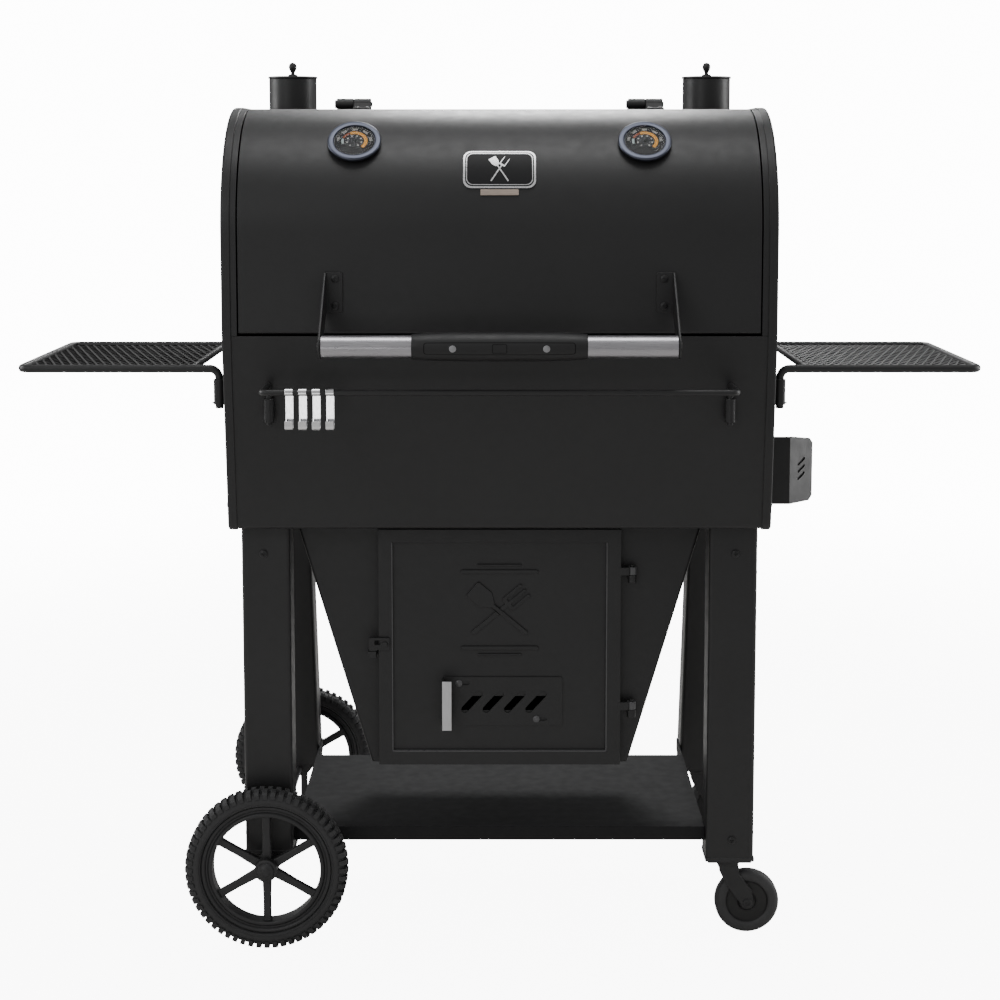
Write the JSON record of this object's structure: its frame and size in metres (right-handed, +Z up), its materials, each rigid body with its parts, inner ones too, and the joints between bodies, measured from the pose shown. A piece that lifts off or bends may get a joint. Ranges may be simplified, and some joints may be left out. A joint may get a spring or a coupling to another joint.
{
  "type": "barrel charcoal smoker",
  "caption": "Barrel charcoal smoker on a wheeled cart, with a hinged front-opening lid, a tapered firebox with a door and damper, smokestacks and mesh side shelves.",
  "frame": {"origin": "on the ground, at the middle of the whole smoker's width and depth", "axes": "+X to the right as seen by the cook, +Y from the cook towards the back, +Z up"},
  "size_m": [1.4446, 0.775, 1.3644],
  "materials": {
    "black_paint": "satin black high-heat powder coat",
    "shelf_paint": "satin black powder coat",
    "steel": "brushed",
    "hook_steel": "polished",
    "grip": "fine-grained moulded",
    "iron": "seasoned",
    "tyre": "matte",
    "wheel_plastic": "satin moulded",
    "caster_rubber": "matte",
    "bezel": "dark satin",
    "badge": "satin"
  },
  "bodies": {
    "cart": {"lower_tub": "black_paint", "upper_shell": "black_paint", "left_end_cap": "black_paint", "right_end_cap": "black_paint", "left_lid_hinge": "black_paint", "right_lid_hinge": "black_paint", "left_smokestack": "black_paint", "right_smokestack": "black_paint", "firebox_hopper": "black_paint", "charcoal_basket": "iron", "ash_pan": "iron", "front_grate_ledge": "black_paint", "rear_grate_ledge": "black_paint", "left_cooking_grate": "iron", "right_cooking_grate": "iron", "front_left_leg": "black_paint", "rear_left_leg": "black_paint", "front_right_leg": "black_paint", "rear_right_leg": "black_paint", "bottom_shelf": "shelf_paint", "wheel_axle": "steel", "front_axle_bracket": "black_paint", "rear_axle_bracket": "black_paint", "front_caster_plate": "black_paint", "rear_caster_plate": "black_paint", "left_shelf_frame": "black_paint", "left_shelf_crossbar": "black_paint", "left_shelf_mesh": "black_paint", "right_shelf_frame": "black_paint", "right_shelf_crossbar": "black_paint", "right_shelf_mesh": "black_paint", "tool_rack": "black_paint", "air_port_hood": "black_paint"},
    "lid": {"lid": "black_paint", "lid_badge": "badge", "left_thermometer": "bezel", "right_thermometer": "bezel", "lid_handle_tube": "steel", "lid_handle_grip": "grip", "left_handle_bracket": "black_paint", "right_handle_bracket": "black_paint"},
    "door": {"firebox_door": "black_paint"},
    "latch": {"door_latch": "black_paint"},
    "damper": {"door_damper": "black_paint", "damper_handle": "steel"},
    "left_cap": {"left_stack_cap": "black_paint"},
    "right_cap": {"right_stack_cap": "black_paint"},
    "front_wheel_set": {"front_wheel": "wheel_plastic", "front_tyre": "tyre"},
    "rear_wheel_set": {"rear_wheel": "wheel_plastic", "rear_tyre": "tyre"},
    "front_swivel": {"front_caster_fork": "black_paint"},
    "front_roller": {"front_caster_wheel": "caster_rubber"},
    "rear_swivel": {"rear_caster_fork": "black_paint"},
    "rear_roller": {"rear_caster_wheel": "caster_rubber"},
    "hook_1": {"tool_hook_1": "hook_steel"},
    "hook_2": {"tool_hook_2": "hook_steel"},
    "hook_3": {"tool_hook_3": "hook_steel"},
    "hook_4": {"tool_hook_4": "hook_steel"}
  },
  "joints": [
    {"name": "lid_hinge", "type": "hinge", "parent": "cart", "child": "lid", "pos_m": [0, 0.017, 1.295], "axis": [-1, 0, 0], "range_deg": [0, 125]},
    {"name": "door_hinge", "type": "hinge", "parent": "cart", "child": "door", "pos_m": [0.2045, -0.163, 0.4575], "axis": [0, 0, 1], "range_deg": [0, 120]},
    {"name": "damper_slide", "type": "slide", "parent": "door", "child": "damper", "axis": [-1, 0, 0], "range_m": [0, 0.014]},
    {"name": "latch_pivot", "type": "hinge", "parent": "door", "child": "latch", "pos_m": [-0.177, -0.1705, 0.4637], "axis": [0, 1, 0], "range_deg": [0, 60]},
    {"name": "left_cap_lift", "type": "slide", "parent": "cart", "child": "left_cap", "axis": [0, 0, 1], "range_m": [0, 0.02]},
    {"name": "right_cap_lift", "type": "slide", "parent": "cart", "child": "right_cap", "axis": [0, 0, 1], "range_m": [0, 0.02]},
    {"name": "front_wheel_spin", "type": "hinge", "parent": "cart", "child": "front_wheel_set", "pos_m": [-0.358, -0.2185, 0.125], "axis": [0, 1, 0], "continuous": true},
    {"name": "rear_wheel_spin", "type": "hinge", "parent": "cart", "child": "rear_wheel_set", "pos_m": [-0.358, 0.3575, 0.125], "axis": [0, 1, 0], "continuous": true},
    {"name": "front_caster_turn", "type": "hinge", "parent": "cart", "child": "front_swivel", "pos_m": [0.358, -0.1585, 0.115], "axis": [0, 0, 1], "continuous": true},
    {"name": "front_roller_spin", "type": "hinge", "parent": "front_swivel", "child": "front_roller", "pos_m": [0.388, -0.1585, 0.05], "axis": [0, 1, 0], "continuous": true},
    {"name": "rear_caster_turn", "type": "hinge", "parent": "cart", "child": "rear_swivel", "pos_m": [0.358, 0.2985, 0.115], "axis": [0, 0, 1], "continuous": true},
    {"name": "rear_roller_spin", "type": "hinge", "parent": "rear_swivel", "child": "rear_roller", "pos_m": [0.388, 0.2985, 0.05], "axis": [0, 1, 0], "continuous": true},
    {"name": "hook_1_swing", "type": "hinge", "parent": "cart", "child": "hook_1", "pos_m": [-0.301, -0.3565, 0.877], "axis": [1, 0, 0], "range_deg": [-60, 60]},
    {"name": "hook_2_swing", "type": "hinge", "parent": "cart", "child": "hook_2", "pos_m": [-0.2815, -0.3565, 0.877], "axis": [1, 0, 0], "range_deg": [-60, 60]},
    {"name": "hook_3_swing", "type": "hinge", "parent": "cart", "child": "hook_3", "pos_m": [-0.262, -0.3565, 0.877], "axis": [1, 0, 0], "range_deg": [-60, 60]},
    {"name": "hook_4_swing", "type": "hinge", "parent": "cart", "child": "hook_4", "pos_m": [-0.2425, -0.3565, 0.877], "axis": [1, 0, 0], "range_deg": [-60, 60]}
  ]
}
